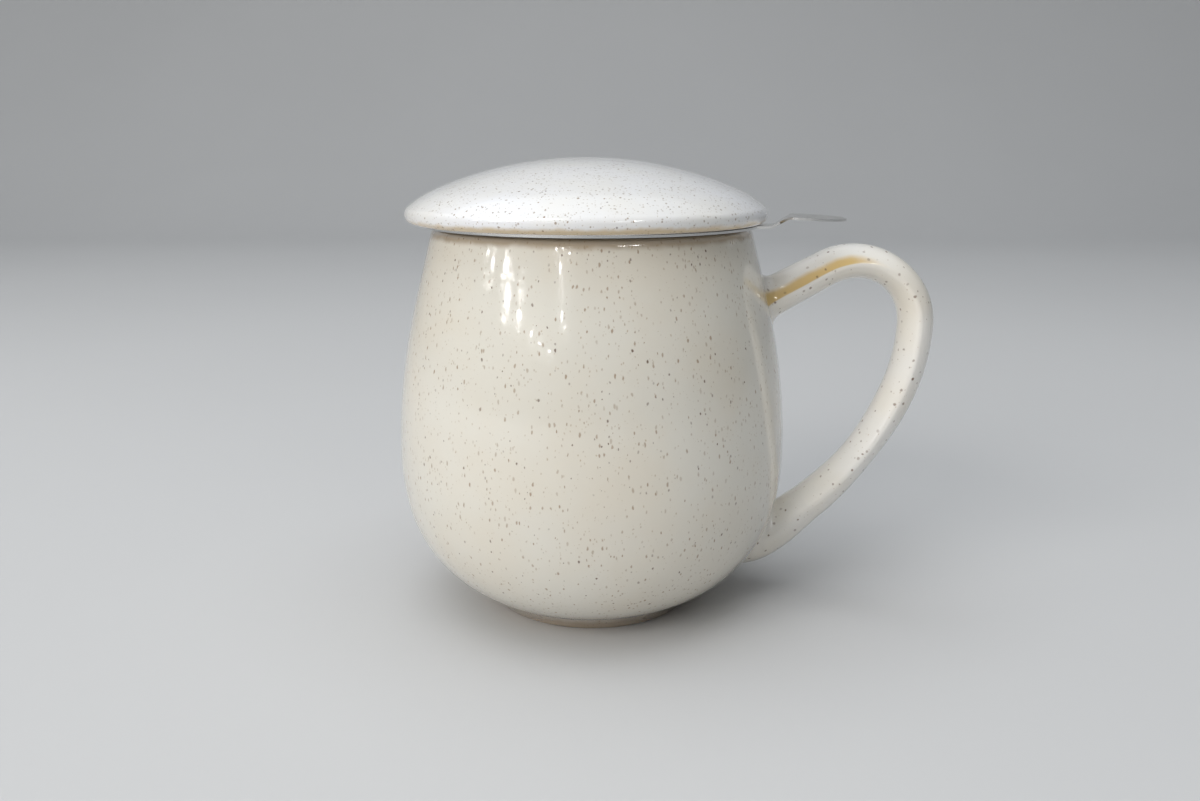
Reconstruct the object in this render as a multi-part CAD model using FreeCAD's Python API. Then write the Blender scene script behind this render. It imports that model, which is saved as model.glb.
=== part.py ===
import FreeCAD, Part
import math
import os

# Lidded stoneware tea mug with a steel infuser basket.
# Millimetres. Z is up, the mug's axis is Z, the table is Z = 0 and the handle points along +X.

Vector = FreeCAD.Vector
ORIGIN = Vector(0, 0, 0)
AXIS = Vector(0, 0, 1)

# shorter than any edge of the mug
tiny = 1e-7
# how far a cutter reaches past the face it cuts
cutter_margin = 1.0

# vessel
mug_height = 88.4
wall = 3.8
foot_radius = 23.5
foot_top_radius = 27.05
foot_height = 3.7
foot_ring_width = 3.4
foot_edge_round = 0.8
foot_recess = 2.6
floor_thickness = 4.4
floor_corner_radius = 9.0

# the outside from the foot to the neck is three tangent arcs, each ending at a heading above the horizontal
body_start_heading = 26.05
lower_arc_radius = 31.04
lower_arc_heading = 77.65
belly_arc_radius = 54.47
shoulder_arc_radius = 135.55
shoulder_heading = 104.43

# handle: a straight, three arcs that turn down, a straight and a last turn in to the body
handle_root_height = 71.55
handle_heading = 28.4
handle_rise = 15.1
crest_radius = 14.7
crest_turn = 118.7
back_radius = 44.0
back_turn = 21.6
lower_radius = 68.6
lower_turn = 28.6
handle_return = 8.6
heel_radius = 13.0
heel_turn = 48.0

# handle section: a crown outside and a flatter one inside, meeting in a soft ridge on each side
handle_width = 11.6
root_width = 12.6
heel_width = 15.0
ridge_radius = 1.3
crown_share = 0.54
root_thickness = 9.4
rise_thickness = 8.3
crest_thickness = 7.5
back_thickness = 8.0
waist_thickness = 7.5
return_thickness = 8.8
heel_start_thickness = 10.3
heel_thickness = 14.2
root_flare = 1.5
flare_reach = 4.2
buried_length = 9.0

# how many sections the handle's straights and bends are drawn through
straight_count = 2
gentle_count = 2
crest_count = 3

# infuser
sheet = 0.5
mouth_clearance = 0.7
seat_gap = 0.3
flange_overhang = 3.2
flange_bend_radius = 1.2
collar_depth = 12.5
lap_gap = 0.05
lap_length = 6.0
basket_clearance = 12.2
pan_bend_radius = 1.0
pan_skirt = 4.0

# slits in the sleeve and in the base
slit_width = 1.1
slit_length = 7.0
slit_bridge = 2.6
slit_pitch = 6.2
slit_edge_land = 3.0
seam_land = 9.0
base_slit_length = 3.6
base_slit_bridge = 2.2
base_first_ring = 5.4
base_slit_pitch = 6.2
base_edge_land = 2.4

# thumb tab, stamped in one with the flange
tab_azimuth = -12.0
neck_clearance = 0.6
neck_width = 9.0
neck_rise = 2.1
neck_slope = 31.0
tab_bend_radius = 1.4
paddle_width = 15.0
paddle_length = 11.6
paddle_droop = 2.5
tab_corner_bow = 0.3

# lid
lid_overhang = 3.1
lid_seat_margin = 0.25
lid_edge_radius = 2.02
lid_edge_start = 12.2
lid_edge_end = 140.24
lid_shoulder_radius = 25.25
lid_shoulder_end = 157.19
lid_wall = 4.0
lid_inner_fillet = 2.5
locating_depth = 5.0
locating_width = 3.0
locating_clearance = 1.8
locating_chamfer = 0.9
lid_off_centre = -1.24


def on_profile(r, z):
    """A point of the XZ plane, where profiles are drawn before they are turned about Z."""
    return Vector(r, 0, z)


def direction(heading):
    """The unit vector in the XZ plane at this many degrees above +X."""
    angle = math.radians(heading)
    return Vector(math.cos(angle), 0, math.sin(angle))


def left_of(heading):
    """The unit vector square to a heading, on its left."""
    return direction(heading + 90)


class Outline:
    """A chain of straights and tangent arcs in the XZ plane."""

    def __init__(self, start, heading=0.0):
        self.first = start
        self.point = start
        self.heading = heading
        self.edges = []

    def line_to(self, point):
        if (point - self.point).Length > tiny:
            self.edges.append(Part.makeLine(self.point, point))
        self.point = point

    def straight(self, length):
        self.line_to(self.point + direction(self.heading) * length)

    def arc(self, radius, end_heading):
        """Turn along an arc to end_heading: to the left where that is the greater angle."""
        side = 1 if end_heading > self.heading else -1
        centre = self.point + left_of(self.heading) * (side * radius)
        middle = centre - left_of((self.heading + end_heading) / 2) * (side * radius)
        end = centre - left_of(end_heading) * (side * radius)
        self.edges.append(Part.Arc(self.point, middle, end).toShape())
        self.point = end
        self.heading = end_heading

    def face(self):
        self.line_to(self.first)
        return Part.Face(Part.Wire(self.edges))

    def turned(self):
        """The solid made by turning the closed outline about the Z axis."""
        return self.face().revolve(ORIGIN, AXIS, 360)


def draw_side(outline):
    """The vessel's outside from the top of the foot to the start of the neck."""
    outline.line_to(on_profile(foot_top_radius, foot_height))
    outline.heading = body_start_heading
    outline.arc(lower_arc_radius, lower_arc_heading)
    outline.arc(belly_arc_radius, 90.0)
    outline.arc(shoulder_arc_radius, shoulder_heading)


def lower_arc_centre():
    start = on_profile(foot_top_radius, foot_height)
    return start + left_of(body_start_heading) * lower_arc_radius


# the mouth is a full round lip on a straight neck that leans in
shoulder = Outline(on_profile(foot_top_radius, foot_height))
draw_side(shoulder)
lip_radius = wall / 2
lean = math.radians(shoulder_heading - 90)
neck_top = mug_height - lip_radius + lip_radius * math.sin(lean)
neck_length = (neck_top - shoulder.point.z) / math.cos(lean)
lip_centre = shoulder.point + direction(shoulder_heading) * neck_length + left_of(shoulder_heading) * lip_radius
mouth_radius = lip_centre.x - lip_radius

# the infuser hangs from the lip by its flange, and its sleeve nests in the collar and in the base pan
collar_outer = mouth_radius - mouth_clearance
collar_inner = collar_outer - sheet
sleeve_outer = collar_inner - lap_gap
sleeve_inner = sleeve_outer - sheet
flange_bottom = mug_height + seat_gap
flange_top = flange_bottom + sheet
flange_radius = lip_centre.x + flange_overhang
collar_bottom = flange_bottom - collar_depth
floor_top = foot_recess + floor_thickness
basket_bottom = floor_top + basket_clearance
pan_top = basket_bottom + sheet
sleeve_bottom = pan_top + pan_bend_radius
sleeve_top = collar_bottom + lap_length

# the lid rests on the flange, and its locating ring stands inside the collar
lid_seat = flange_top
lid_radius = flange_radius + lid_overhang
locating_outer = collar_inner - locating_clearance
locating_inner = locating_outer - locating_width


def draw_foot(outline):
    """From the foot's flat ring, round its outer edge and up its flared side."""
    flare = math.degrees(math.atan2(foot_height, foot_top_radius - foot_radius))
    run_out = foot_edge_round * math.tan(math.radians(flare / 2))
    outline.line_to(on_profile(foot_radius - run_out, 0))
    outline.heading = 0.0
    outline.arc(foot_edge_round, flare)


def mug_blank():
    """The vessel with nothing hollowed out, to trim the handle's roots against."""
    outline = Outline(ORIGIN)
    draw_foot(outline)
    draw_side(outline)
    outline.straight(neck_length)
    outline.arc(lip_radius, shoulder_heading + 90)
    outline.line_to(on_profile(0, outline.point.z))
    return outline.turned()


def make_mug_body():
    """The thrown vessel: foot ring, belly, leaning neck, round lip and an inside that follows the outside."""
    ring_inner = foot_radius - foot_ring_width
    inner_lower = lower_arc_radius - wall
    centre = lower_arc_centre()
    # the floor's corner arc touches both the floor and the inner lower arc
    corner_z = floor_top + floor_corner_radius - centre.z
    corner_r = math.sqrt((inner_lower - floor_corner_radius) ** 2 - corner_z ** 2)
    corner_heading = math.degrees(math.atan2(corner_z, corner_r)) + 90

    outline = Outline(on_profile(ring_inner, 0))
    draw_foot(outline)
    draw_side(outline)
    outline.straight(neck_length)
    outline.arc(lip_radius, shoulder_heading + 180)
    outline.straight(neck_length)
    outline.arc(shoulder_arc_radius - wall, 270)
    outline.arc(belly_arc_radius - wall, 180 + lower_arc_heading)
    outline.arc(inner_lower, 180 + corner_heading)
    outline.arc(floor_corner_radius, 180)
    outline.line_to(on_profile(0, floor_top))
    outline.line_to(on_profile(0, foot_recess))
    outline.line_to(on_profile(ring_inner - foot_recess / 2, foot_recess))
    return outline.turned()


class Route:
    """The handle's centre line, kept as stations of place, heading, thickness and width."""

    def __init__(self, start, heading, thickness, width):
        self.point = start
        self.heading = heading
        self.thickness = thickness
        self.width = width
        self.stations = []
        self.mark()

    def mark(self):
        self.stations.append((self.point, self.heading, self.thickness, self.width))

    def grow(self, share, start, thickness, width):
        self.thickness = start[0] + (thickness - start[0]) * share
        self.width = start[1] + (width - start[1]) * share

    def straight(self, length, steps, thickness, width):
        start = (self.thickness, self.width)
        first = self.point
        for step in range(1, steps + 1):
            self.point = first + direction(self.heading) * (length * step / steps)
            self.grow(step / steps, start, thickness, width)
            self.mark()

    def bend_down(self, radius, turn, steps, thickness, width):
        """An arc that turns the route clockwise in the XZ plane."""
        start = (self.thickness, self.width)
        first = self.heading
        centre = self.point - left_of(first) * radius
        for step in range(1, steps + 1):
            self.heading = first - turn * step / steps
            self.point = centre + left_of(self.heading) * radius
            self.grow(step / steps, start, thickness, width)
            self.mark()


def crown_arc(half_width, height):
    """The radius of a crown that touches both side ridges and stands this high above the mid plane."""
    reach = half_width - ridge_radius
    return (reach ** 2 + height ** 2 - ridge_radius ** 2) / (2 * (height - ridge_radius))


def handle_section(station):
    """A closed wire across the handle: two crowns of different height joined by two side ridges."""
    point, heading, thickness, width = station
    normal = left_of(heading)
    across = Vector(0, 1, 0)
    half_width = width / 2
    reach = half_width - ridge_radius

    def place(y, n):
        return point + across * y + normal * n

    def touch(height):
        """Where a crown of this height meets the ridge: its place across and along the normal."""
        radius = crown_arc(half_width, height)
        centre = height - radius
        length = math.hypot(reach, centre)
        return reach + ridge_radius * reach / length, -ridge_radius * centre / length

    outer = thickness * crown_share
    inner = thickness - outer
    shift = (outer - inner) / 2
    outer_y, outer_n = touch(outer)
    inner_y, inner_n = touch(inner)
    corners = [
        (outer_y, outer_n - shift),
        (0, outer - shift),
        (-outer_y, outer_n - shift),
        (-half_width, -shift),
        (-inner_y, -inner_n - shift),
        (0, -inner - shift),
        (inner_y, -inner_n - shift),
        (half_width, -shift),
    ]
    points = [place(y, n) for y, n in corners]
    points.append(points[0])
    edges = [Part.Arc(*points[i:i + 3]).toShape() for i in range(0, len(corners), 2)]
    return Part.Wire(edges)


def body_radius_at(height):
    """The vessel's outer radius at a height on the shoulder or the neck."""
    if height > shoulder.point.z:
        return shoulder.point.x - (height - shoulder.point.z) * math.tan(lean)
    centre = shoulder.point + left_of(shoulder_heading) * shoulder_arc_radius
    return centre.x + math.sqrt(shoulder_arc_radius ** 2 - (height - centre.z) ** 2)


def make_handle(blank):
    """The pulled ear, lofted along its centre line and trimmed to the vessel's outside."""
    root = on_profile(body_radius_at(handle_root_height), handle_root_height)
    start = root - direction(handle_heading) * flare_reach
    # the root flares evenly, from inside the vessel to flare_reach outside it
    buried_flare = 4 * root_flare
    surface_flare = 2 * root_flare
    route = Route(start, handle_heading, root_thickness + buried_flare, root_width + buried_flare)
    route.straight(flare_reach, 1, root_thickness + surface_flare, root_width + surface_flare)
    route.straight(flare_reach, 1, root_thickness, root_width)
    route.straight(handle_rise - flare_reach, straight_count, rise_thickness, handle_width)
    route.bend_down(crest_radius, crest_turn / 2, crest_count, crest_thickness, handle_width)
    route.bend_down(crest_radius, crest_turn / 2, crest_count, back_thickness, handle_width)
    route.bend_down(back_radius, back_turn, gentle_count, back_thickness, handle_width)
    route.bend_down(lower_radius, lower_turn / 2, gentle_count, waist_thickness, handle_width)
    route.bend_down(lower_radius, lower_turn / 2, gentle_count, return_thickness, handle_width)
    route.straight(handle_return, straight_count, heel_start_thickness, root_width)
    route.bend_down(heel_radius, heel_turn, gentle_count, heel_thickness, heel_width)
    route.straight(buried_length, 1, heel_thickness, heel_width)
    loft = Part.makeLoft([handle_section(s) for s in route.stations], True, False)
    trimmed = loft.cut(blank)
    return max(trimmed.Solids, key=lambda solid: solid.Volume)


def make_flange():
    """The stamped flange, with the collar drawn down from it over a rounded bend."""
    bend_r = collar_outer + flange_bend_radius
    outline = Outline(on_profile(bend_r, flange_bottom))
    outline.line_to(on_profile(flange_radius, flange_bottom))
    outline.line_to(on_profile(flange_radius, flange_top))
    outline.line_to(on_profile(bend_r, flange_top))
    outline.heading = 180.0
    outline.arc(flange_bend_radius + sheet, 270)
    outline.line_to(on_profile(collar_inner, collar_bottom))
    outline.line_to(on_profile(collar_outer, collar_bottom))
    outline.line_to(on_profile(collar_outer, flange_bottom - flange_bend_radius))
    outline.heading = 90.0
    outline.arc(flange_bend_radius, 0)
    return outline.turned()


def tab_side():
    """The tab seen from the side: level under the lid, up past its edge, then the long flat paddle."""
    level_end = lid_radius + lid_off_centre + neck_clearance
    paddle_heading = -paddle_droop
    rise_left = neck_rise - 2 * tab_bend_radius * (1 - math.cos(math.radians(neck_slope)))
    rise_length = rise_left / math.sin(math.radians(neck_slope))
    start = collar_outer + flange_bend_radius + sheet

    def draw(side, inner_left, inner_right):
        side.line_to(on_profile(level_end, side.point.z))
        side.arc(inner_left, neck_slope)
        side.straight(rise_length)
        side.arc(inner_right, paddle_heading)
        side.straight(paddle_length)

    lower = Outline(on_profile(start, flange_bottom))
    draw(lower, tab_bend_radius + sheet, tab_bend_radius)
    upper = Outline(on_profile(start, flange_top))
    draw(upper, tab_bend_radius, tab_bend_radius + sheet)
    ends = [Part.makeLine(lower.point, upper.point), Part.makeLine(upper.first, lower.first)]
    wire = Part.Wire(Part.__sortEdges__(lower.edges + upper.edges + ends))
    return Part.Face(wire), lower.point.x


def make_tab():
    """The thumb tab: a waisted neck and a paddle with a round tip, cut from the bent strip."""
    side, tip_x = tab_side()
    strip = side.extrude(Vector(0, paddle_width, 0))
    strip.translate(Vector(0, -paddle_width / 2, 0))
    start = collar_outer + flange_bend_radius + sheet
    shoulder_x = lid_radius + lid_off_centre + neck_clearance + neck_rise
    wide_x = shoulder_x + (paddle_width - neck_width) / 2
    half_neck = neck_width / 2
    half_paddle = paddle_width / 2
    tip_start = tip_x - half_paddle
    bow_x = (shoulder_x + wide_x) / 2 - tab_corner_bow
    bow_y = (half_neck + half_paddle) / 2 + tab_corner_bow

    def plan(x, y):
        return Vector(x, y, 0)

    near = [
        Part.makeLine(plan(start, -half_neck), plan(shoulder_x, -half_neck)),
        Part.Arc(plan(shoulder_x, -half_neck), plan(bow_x, -bow_y), plan(wide_x, -half_paddle)).toShape(),
        Part.makeLine(plan(wide_x, -half_paddle), plan(tip_start, -half_paddle)),
    ]
    tip = Part.Arc(plan(tip_start, -half_paddle), plan(tip_x, 0), plan(tip_start, half_paddle)).toShape()
    far = [edge.mirror(ORIGIN, Vector(0, 1, 0)) for edge in near]
    back = Part.makeLine(plan(start, half_neck), plan(start, -half_neck))
    face = Part.Face(Part.Wire(Part.__sortEdges__(near + [tip] + far + [back])))
    prism = face.extrude(Vector(0, 0, flange_top + neck_rise + sheet + cutter_margin))
    tab = strip.common(prism)
    tab.rotate(ORIGIN, AXIS, tab_azimuth)
    return tab


def make_infuser_rim():
    """Flange, collar and thumb tab as one stamping."""
    return make_flange().fuse(make_tab()).removeSplitter().Solids[0]


def slit_cutter(inner, outer, bottom, top, azimuth):
    """A box as wide as a slit, between two radii and two heights."""
    cutter = Part.makeBox(outer - inner, slit_width, top - bottom, Vector(inner, -slit_width / 2, bottom))
    cutter.rotate(ORIGIN, AXIS, azimuth)
    return cutter


def make_infuser_sleeve():
    """The rolled sleeve, with staggered rows of upright slits and a plain land at its seam."""
    outline = Outline(on_profile(sleeve_inner, sleeve_bottom))
    outline.line_to(on_profile(sleeve_outer, sleeve_bottom))
    outline.line_to(on_profile(sleeve_outer, sleeve_top))
    outline.line_to(on_profile(sleeve_inner, sleeve_top))
    sleeve = outline.turned()
    first = pan_top + pan_skirt + slit_edge_land
    last = collar_bottom - slit_edge_land
    row_pitch = slit_length + slit_bridge
    rows = int((last - first + slit_bridge) / row_pitch)
    spare = (last - first + slit_bridge) - rows * row_pitch
    seam_angle = math.degrees(seam_land / sleeve_outer)
    columns = int(math.radians(360 - seam_angle) * sleeve_outer / slit_pitch)
    step = (360 - seam_angle) / columns
    inside = sleeve_inner - cutter_margin
    outside = sleeve_outer + cutter_margin
    cutters = []
    for row in range(rows):
        bottom = first + spare / 2 + row * row_pitch
        stagger = row % 2
        for column in range(columns - stagger):
            azimuth = 180 + seam_angle / 2 + (column + 0.5 + stagger / 2) * step
            cutters.append(slit_cutter(inside, outside, bottom, bottom + slit_length, azimuth))
    return sleeve.cut(Part.makeCompound(cutters)).Solids[0]


def make_infuser_base():
    """The base pan: a flat pierced disc with a skirt drawn up round the foot of the sleeve."""
    outline = Outline(on_profile(0, basket_bottom))
    outline.line_to(on_profile(collar_outer - pan_bend_radius - sheet, basket_bottom))
    outline.line_to(on_profile(collar_outer, sleeve_bottom))
    outline.line_to(on_profile(collar_outer, pan_top + pan_skirt))
    outline.line_to(on_profile(collar_inner, pan_top + pan_skirt))
    outline.line_to(on_profile(collar_inner, sleeve_bottom))
    outline.line_to(on_profile(collar_inner - pan_bend_radius, pan_top))
    outline.line_to(on_profile(0, pan_top))
    pan = outline.turned()
    ring_pitch = base_slit_length + base_slit_bridge
    last = sleeve_inner - base_edge_land - base_slit_length
    rings = int((last - base_first_ring) / ring_pitch) + 1
    below = basket_bottom - cutter_margin
    above = pan_top + cutter_margin
    cutters = []
    for ring in range(rings):
        inner = base_first_ring + ring * ring_pitch
        count = int(2 * math.pi * (inner + base_slit_length / 2) / base_slit_pitch)
        for index in range(count):
            azimuth = (index + 0.5 * (ring % 2)) * 360 / count
            cutters.append(slit_cutter(inner, inner + base_slit_length, below, above, azimuth))
    return pan.cut(Part.makeCompound(cutters)).Solids[0]


def make_lid():
    """The loose domed lid: rolled edge, flat seat, locating ring and a hollow that follows the dome."""
    edge_centre = lid_radius - lid_edge_radius
    edge_start_r = edge_centre + lid_edge_radius * math.sin(math.radians(lid_edge_start))
    seat_end = flange_radius + lid_seat_margin
    rise = (edge_start_r - seat_end) * math.tan(math.radians(lid_edge_start))
    outline = Outline(on_profile(locating_outer, lid_seat))
    outline.line_to(on_profile(seat_end, lid_seat))
    outline.line_to(on_profile(edge_start_r, lid_seat + rise))
    outline.heading = lid_edge_start
    outline.arc(lid_edge_radius, lid_edge_end)
    outline.arc(lid_shoulder_radius, lid_shoulder_end)
    # the dome's centre lies on the axis, so it crowns level
    dome_radius = outline.point.x / math.sin(math.radians(180 - lid_shoulder_end))
    outline.arc(dome_radius, 180)
    dome_centre = outline.point.z - dome_radius
    hollow_radius = dome_radius - lid_wall
    outline.line_to(on_profile(0, dome_centre + hollow_radius))
    outline.heading = 0.0
    fillet_r = locating_inner - lid_inner_fillet
    fillet_z = math.sqrt((hollow_radius - lid_inner_fillet) ** 2 - fillet_r ** 2)
    outline.arc(hollow_radius, math.degrees(math.atan2(fillet_z, fillet_r)) - 90)
    outline.arc(lid_inner_fillet, -90)
    ring_bottom = lid_seat - locating_depth
    outline.line_to(on_profile(locating_inner, ring_bottom + locating_chamfer))
    outline.line_to(on_profile(locating_inner + locating_chamfer, ring_bottom))
    outline.line_to(on_profile(locating_outer - locating_chamfer, ring_bottom))
    outline.line_to(on_profile(locating_outer, ring_bottom + locating_chamfer))
    lid = outline.turned()
    lid.translate(Vector(lid_off_centre, 0, 0))
    return lid


def main():
    os.makedirs("parts", exist_ok=True)
    pieces = {
        "mug_body": make_mug_body(),
        "handle": make_handle(mug_blank()),
        "lid": make_lid(),
        "infuser_rim": make_infuser_rim(),
        "infuser_sleeve": make_infuser_sleeve(),
        "infuser_base": make_infuser_base(),
    }
    for node, shape in pieces.items():
        shape.exportStep("parts/" + node + ".step")
        print(node, shape.isValid(), len(shape.Solids), round(shape.Volume, 1))


main()
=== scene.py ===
"""Dresses the lidded tea mug: glazed stoneware vessel, ear handle and lid, and a slit steel infuser."""

import logging
import math
from collections.abc import Sequence
from dataclasses import dataclass, field
from enum import Enum

import bmesh
import bpy
import numpy as np
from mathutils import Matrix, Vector


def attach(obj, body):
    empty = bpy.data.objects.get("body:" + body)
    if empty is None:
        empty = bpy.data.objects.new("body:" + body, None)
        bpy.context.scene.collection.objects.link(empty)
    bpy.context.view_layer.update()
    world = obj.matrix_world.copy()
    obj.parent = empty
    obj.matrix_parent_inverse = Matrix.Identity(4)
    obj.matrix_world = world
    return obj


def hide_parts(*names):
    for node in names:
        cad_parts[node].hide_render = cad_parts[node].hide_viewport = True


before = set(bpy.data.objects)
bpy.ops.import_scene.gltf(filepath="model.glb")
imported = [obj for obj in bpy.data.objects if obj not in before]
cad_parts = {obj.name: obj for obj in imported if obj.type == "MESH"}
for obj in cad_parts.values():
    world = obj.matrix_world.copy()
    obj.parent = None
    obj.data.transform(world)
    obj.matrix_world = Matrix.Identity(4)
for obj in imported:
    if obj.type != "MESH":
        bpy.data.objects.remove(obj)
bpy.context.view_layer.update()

MM = 0.001
LOG = logging.getLogger("tea_mug")

# Shorter than this many millimetres counts as nothing.
TINY = 1e-6
# Points of a built mesh, and of the frame's own, this many metres apart become one.
WELD = 1e-7
CAD_WELD = 1e-6

Point = tuple[float, float]
Span = tuple[float, float]
Place = tuple[float, float, float]
Colour = tuple[float, float, float, float]
# The azimuth and elevation of a bright pane in degrees, and its width and height in metres.
Pane = tuple[float, float, float, float]


class Body(Enum):
    """The rigid bodies that pieces ride on."""

    MUG = "mug"
    INFUSER = "infuser"
    LID = "lid"


class LampTask(Enum):
    """What a lamp is for: to light surfaces softly, or to be mirrored in the glaze."""

    LIGHT = "light"
    MIRROR = "mirror"


def smoothstep(value: float) -> float:
    """Ease a share between 0 and 1."""
    share = min(max(value, 0.0), 1.0)
    return share * share * (3 - 2 * share)


def heading_vector(heading: float) -> np.ndarray:
    """The unit vector of a heading in degrees above the horizontal."""
    return np.array([math.cos(math.radians(heading)), math.sin(math.radians(heading))])


class Profile:
    """A chain of straights and tangent arcs in the (radius, height) plane, in millimetres."""

    LEAST_STEPS = 3

    def __init__(self, start: Point, heading: float = 0.0, step: float = 2.5) -> None:
        """Start a chain.

        Args:
            start: its first point.
            heading: the direction it leaves in, in degrees.
            step: the most that an arc turns from one point to the next, in degrees.
        """
        self.points = [np.array(start, float)]
        self.heading = heading
        self.step = step

    @property
    def end(self) -> np.ndarray:
        """The last point."""
        return self.points[-1]

    def line_to(self, point: Point, pieces: int = 1) -> "Profile":
        """Go straight to a point.

        Args:
            point: where to go.
            pieces: how many equal pieces the way is split in.

        Returns:
            The profile itself.
        """
        start, stop = self.end, np.array(point, float)
        if np.linalg.norm(stop - start) > TINY:
            self.points += [start + (stop - start) * i / pieces for i in range(1, pieces + 1)]
        return self

    def straight(self, length: float, pieces: int = 1) -> "Profile":
        """Go on along the heading."""
        stop = self.end + heading_vector(self.heading) * length
        return self.line_to((stop[0], stop[1]), pieces)

    def turn_to(self, heading: float) -> "Profile":
        """Take a new heading at a corner."""
        self.heading = heading
        return self

    def arc(self, radius: float, heading: float) -> "Profile":
        """Turn along an arc, to the left where the new heading is the greater angle.

        Args:
            radius: the arc's radius.
            heading: the direction it ends in, in degrees.

        Returns:
            The profile itself.
        """
        side = 1 if heading > self.heading else -1
        centre = self.end + heading_vector(self.heading + 90) * side * radius
        count = max(int(abs(heading - self.heading) / self.step), self.LEAST_STEPS)
        first = self.heading
        for i in range(1, count + 1):
            angle = first + (heading - first) * i / count
            self.points.append(centre - heading_vector(angle + 90) * side * radius)
        self.heading = heading
        return self


def finish_mesh(name: str, verts: np.ndarray, faces: Sequence[Sequence[int]]) -> bpy.types.Object:
    """Make an object of millimetre points, with its faces outwards and smooth.

    Args:
        name: the object's name.
        verts: points in millimetres.
        faces: corner numbers of each face.

    Returns:
        The object, linked to the scene.
    """
    mesh = bpy.data.meshes.new(name)
    mesh.from_pydata((np.asarray(verts) * MM).tolist(), [], [list(f) for f in faces])
    work = bmesh.new()
    work.from_mesh(mesh)
    bmesh.ops.remove_doubles(work, verts=work.verts, dist=WELD)
    bmesh.ops.recalc_face_normals(work, faces=work.faces)
    work.to_mesh(mesh)
    work.free()
    mesh.shade_smooth()
    obj = bpy.data.objects.new(name, mesh)
    bpy.context.scene.collection.objects.link(obj)
    return obj


def lathe(
    name: str, points: Sequence[np.ndarray], segments: int, closed: bool = True
) -> bpy.types.Object:
    """Turn a profile about the Z axis.

    Args:
        name: the object's name.
        points: the profile, with points on the axis at radius 0.
        segments: how many steps the turn takes.
        closed: whether the last point joins the first.

    Returns:
        The turned object.
    """
    angles = np.arange(segments) * 2 * math.pi / segments
    verts: list[np.ndarray] = []
    rings: list[list[int]] = []
    for radius, height in points:
        if radius < TINY:
            rings.append([len(verts)] * segments)
            verts.append(np.array([0, 0, height]))
            continue
        rings.append(list(range(len(verts), len(verts) + segments)))
        verts += [np.array([radius * math.cos(a), radius * math.sin(a), height]) for a in angles]
    faces = []
    for low, high in zip(rings, rings[1:] + (rings[:1] if closed else [])):
        for i in range(segments):
            j = (i + 1) % segments
            corners = list(dict.fromkeys([low[i], low[j], high[j], high[i]]))
            if len(corners) > 2:
                faces.append(corners)
    return finish_mesh(name, np.array(verts), faces)


def seat(obj: bpy.types.Object, body: Body, node: str) -> None:
    """Let a finished piece ride on its body and stand for its node.

    Args:
        obj: the piece.
        body: what it rides on.
        node: the frame's node that it stands for.
    """
    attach(obj, body.value)
    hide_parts(node)
    LOG.info("%s: %d faces, on %s", obj.name, len(obj.data.polygons), body.value)


@dataclass(frozen=True)
class SpeckLayer:
    """One size of iron speck in the glaze.

    Args:
        cell: mean spacing in millimetres.
        radius: speck radius as a share of the spacing.
        stretch: how much longer a speck is upright than across.
        share: how many of the cells hold one.
        strength: how strongly it darkens.
        colour: its colour.
    """

    cell: float
    radius: float
    stretch: float
    share: float
    strength: float
    colour: Colour


class Nodes:
    """A short hand for building one node tree."""

    def __init__(self, tree: bpy.types.NodeTree) -> None:
        """Hold the tree that nodes go to."""
        self.tree = tree

    def add(
        self, kind: str, inputs: dict[str | int, object] | None = None, **settings: object
    ) -> bpy.types.Node:
        """Add a node.

        Args:
            kind: the node's type.
            inputs: a value or a socket for each input, by name or number.
            settings: the node's own properties.

        Returns:
            The node.
        """
        node = self.tree.nodes.new(kind)
        for key, value in settings.items():
            setattr(node, key, value)
        for key, value in (inputs or {}).items():
            if isinstance(value, bpy.types.NodeSocket):
                self.tree.links.new(value, node.inputs[key])
            else:
                node.inputs[key].default_value = value
        return node

    def math(self, operation: str, first: object, second: object = 0.0) -> bpy.types.NodeSocket:
        """The result of a Math node."""
        return self.add("ShaderNodeMath", {0: first, 1: second}, operation=operation).outputs[0]

    def around(self, value: object, reach: float) -> bpy.types.NodeSocket:
        """A value between 0 and 1, moved to lie around zero and scaled."""
        return self.math("MULTIPLY", self.math("SUBTRACT", value, 0.5), reach)

    def ramp(
        self, value: object, low: float, high: float, start: float = 0.0, stop: float = 1.0
    ) -> bpy.types.NodeSocket:
        """A smooth step between two numbers.

        Args:
            value: what is read.
            low: where the step begins.
            high: where it ends.
            start: the result below low.
            stop: the result above high.

        Returns:
            The result's socket.
        """
        node = self.add(
            "ShaderNodeMapRange",
            {"Value": value, "From Min": low, "From Max": high, "To Min": start, "To Max": stop},
            interpolation_type="SMOOTHSTEP",
        )
        return node.outputs["Result"]

    def mix(self, factor: object, first: object, second: object) -> bpy.types.NodeSocket:
        """A colour between two colours, whose sockets are numbers 6 and 7 of the node."""
        return self.add("ShaderNodeMix", {0: factor, 6: first, 7: second}, data_type="RGBA").outputs[2]

    def noise(
        self, vector: object, scale: float, detail: float = 2.0, roughness: float = 0.5
    ) -> bpy.types.NodeSocket:
        """The value of a noise texture."""
        inputs = {"Vector": vector, "Scale": scale, "Detail": detail, "Roughness": roughness}
        return self.add("ShaderNodeTexNoise", inputs).outputs["Fac"]


def group_sockets(tree: bpy.types.NodeTree, inputs: dict[str, float], outputs: Sequence[str]) -> None:
    """Give a shader group its named sockets, with a Vector input first.

    Args:
        tree: the group.
        inputs: each number's name and its usual value.
        outputs: the names of the results.
    """
    tree.interface.new_socket("Vector", in_out="INPUT", socket_type="NodeSocketVector")
    for name, value in inputs.items():
        socket = tree.interface.new_socket(name, in_out="INPUT", socket_type="NodeSocketFloat")
        socket.default_value = value
    for name in outputs:
        tree.interface.new_socket(name, in_out="OUTPUT", socket_type="NodeSocketFloat")


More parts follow.
